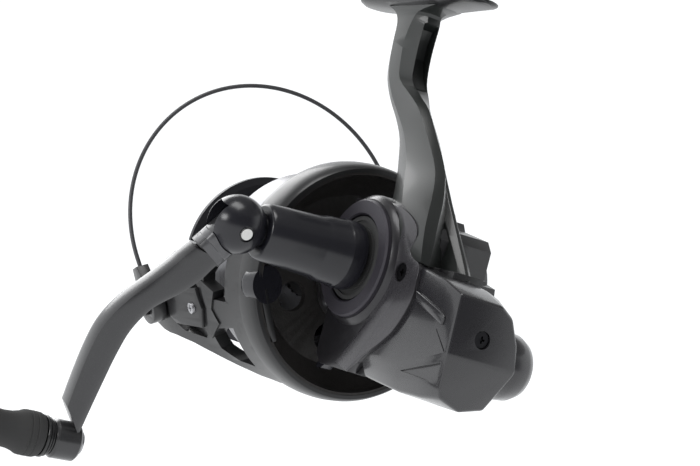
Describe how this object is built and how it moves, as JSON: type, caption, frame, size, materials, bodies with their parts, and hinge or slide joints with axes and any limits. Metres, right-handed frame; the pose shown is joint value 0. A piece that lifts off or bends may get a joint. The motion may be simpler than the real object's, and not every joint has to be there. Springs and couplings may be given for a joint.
{
  "type": "spinning reel",
  "caption": "Long-cast spinning reel with face-gear drive, oscillating spool, rotor with folding bail, front drag and folding crank handle.",
  "frame": {"origin": "middle of the foot's seat face", "axes": "+X forward along the main shaft towards the spool, +Y to the crank side, +Z out of the seat towards the rod"},
  "size_m": [0.1616, 0.1866, 0.1759],
  "materials": {
    "case": "matte black moulded case",
    "side_cover": "satin dark grey",
    "rear_cover": "dark grey, slightly glossy with bright bevels",
    "screw_black": "black oxide",
    "ring_plate": "matte purple grey",
    "seal_rubber": "matte",
    "steel": "ground",
    "gloss_black": "gloss black",
    "brass": "machined",
    "alloy": "die cast",
    "screw_steel": "plain",
    "arm_paint": "satin dark grey",
    "grip_rubber": "matte, faint grain",
    "white_plastic": "plain",
    "rotor": "satin, fine texture",
    "rotor_trim": "satin black",
    "wire_dark": "dark plated",
    "roller_coat": "pale gold coating",
    "spool_alloy": "turned and anodised",
    "lip_black": "gloss black",
    "drag_felt": "greased felt and steel discs"
  },
  "bodies": {
    "root": {"body_housing": "case", "side_cover": "side_cover", "rear_cover": "rear_cover", "cover_screws": "screw_black", "rear_cover_screw": "screw_black", "bearing_ring": "ring_plate", "crank_seal": "seal_rubber", "left_drive_bearing": "steel", "right_drive_bearing": "steel", "right_cap": "gloss_black", "pinion_bush": "brass", "pinion_bearing": "steel", "clutch_housing": "alloy", "clutch_rollers": "steel", "clutch_screws": "screw_steel", "slider_rods": "steel", "osc_axle": "steel"},
    "reverse_lever": {"anti_reverse_lever": "gloss_black"},
    "crank": {"drive_gear": "alloy", "crank_shaft": "steel", "ball_knuckle": "gloss_black", "fold_pin": "steel"},
    "collar": {"lock_collar": "gloss_black"},
    "arm": {"crank_arm": "arm_paint", "knob_spindle": "steel"},
    "grip": {"knob_grip": "grip_rubber", "knob_bushes": "white_plastic", "knob_rings": "gloss_black", "knob_end_cap": "arm_paint"},
    "rotor": {"pinion_gear": "brass", "clutch_sleeve": "steel", "rotor_frame": "rotor", "rotor_nut": "brass", "near_arm_cover": "rotor_trim", "far_arm_cover": "rotor_trim", "arm_cover_screws": "screw_black", "bail_spring": "steel", "bail_pivot_screws": "screw_black"},
    "bail": {"bail_wire": "wire_dark", "bail_holder": "rotor_trim", "roller_arm": "rotor_trim", "roller_screw": "screw_steel"},
    "roller": {"line_roller": "roller_coat"},
    "shaft": {"main_shaft": "steel", "cross_slider": "brass", "slider_screws": "screw_steel", "click_gear": "white_plastic", "spool_washers": "white_plastic"},
    "spool": {"spool": "spool_alloy", "spool_skirt": "spool_alloy", "spool_lip": "lip_black", "drag_washers": "drag_felt", "washer_clip": "steel", "line_clip": "gloss_black"},
    "drag": {"drag_knob": "gloss_black", "drag_nut": "steel", "drag_spring": "steel"},
    "osc": {"osc_gear": "alloy"}
  },
  "joints": [
    {"name": "crank_turn", "type": "hinge", "parent": "root", "child": "crank", "pos_m": [-0.025, 0, -0.0903], "axis": [0, 1, 0], "continuous": true},
    {"name": "rotor_spin", "type": "hinge", "parent": "root", "child": "rotor", "pos_m": [-0.025, 0, -0.0978], "axis": [1, 0, 0], "continuous": true},
    {"name": "osc_gear_turn", "type": "hinge", "parent": "root", "child": "osc", "pos_m": [-0.0408, 0, -0.09805], "axis": [0, 1, 0], "continuous": true},
    {"name": "spool_stroke", "type": "slide", "parent": "root", "child": "shaft", "axis": [1, 0, 0], "range_m": [-0.0075, 0.0075]},
    {"name": "spool_slip", "type": "hinge", "parent": "shaft", "child": "spool", "pos_m": [-0.025, 0, -0.0978], "axis": [1, 0, 0], "continuous": true},
    {"name": "drag_knob_turn", "type": "hinge", "parent": "shaft", "child": "drag", "pos_m": [-0.025, 0, -0.0978], "axis": [1, 0, 0], "range_deg": [0, 300]},
    {"name": "bail_flip", "type": "hinge", "parent": "rotor", "child": "bail", "pos_m": [0.0517, 0, -0.0978], "axis": [0, 0.878, -0.4787], "range_deg": [0, 115]},
    {"name": "line_roller_spin", "type": "hinge", "parent": "bail", "child": "roller", "pos_m": [0.05604, -0.03685, -0.06303], "axis": [0, 0.878, -0.4787], "continuous": true},
    {"name": "collar_twist", "type": "hinge", "parent": "crank", "child": "collar", "pos_m": [-0.025, 0.03, -0.0903], "axis": [0, 1, 0], "range_deg": [0, 120]},
    {"name": "handle_fold", "type": "hinge", "parent": "crank", "child": "arm", "pos_m": [-0.025, 0.0597, -0.0903], "axis": [-0.9617, 0, -0.274], "range_deg": [0, 40]},
    {"name": "knob_spin", "type": "hinge", "parent": "arm", "child": "grip", "pos_m": [-0.00297, 0.1, -0.16762], "axis": [0, 1, 0], "continuous": true},
    {"name": "reverse_lever_flip", "type": "hinge", "parent": "root", "child": "reverse_lever", "pos_m": [-0.014, 0.0076, -0.1228], "axis": [0, 1, 0], "range_deg": [-12, 0]}
  ],
  "couplings": [
    {"joint": "rotor_spin", "follows": "crank_turn", "ratio": 4.1111},
    {"joint": "osc_gear_turn", "follows": "crank_turn", "ratio": -0.46667}
  ]
}
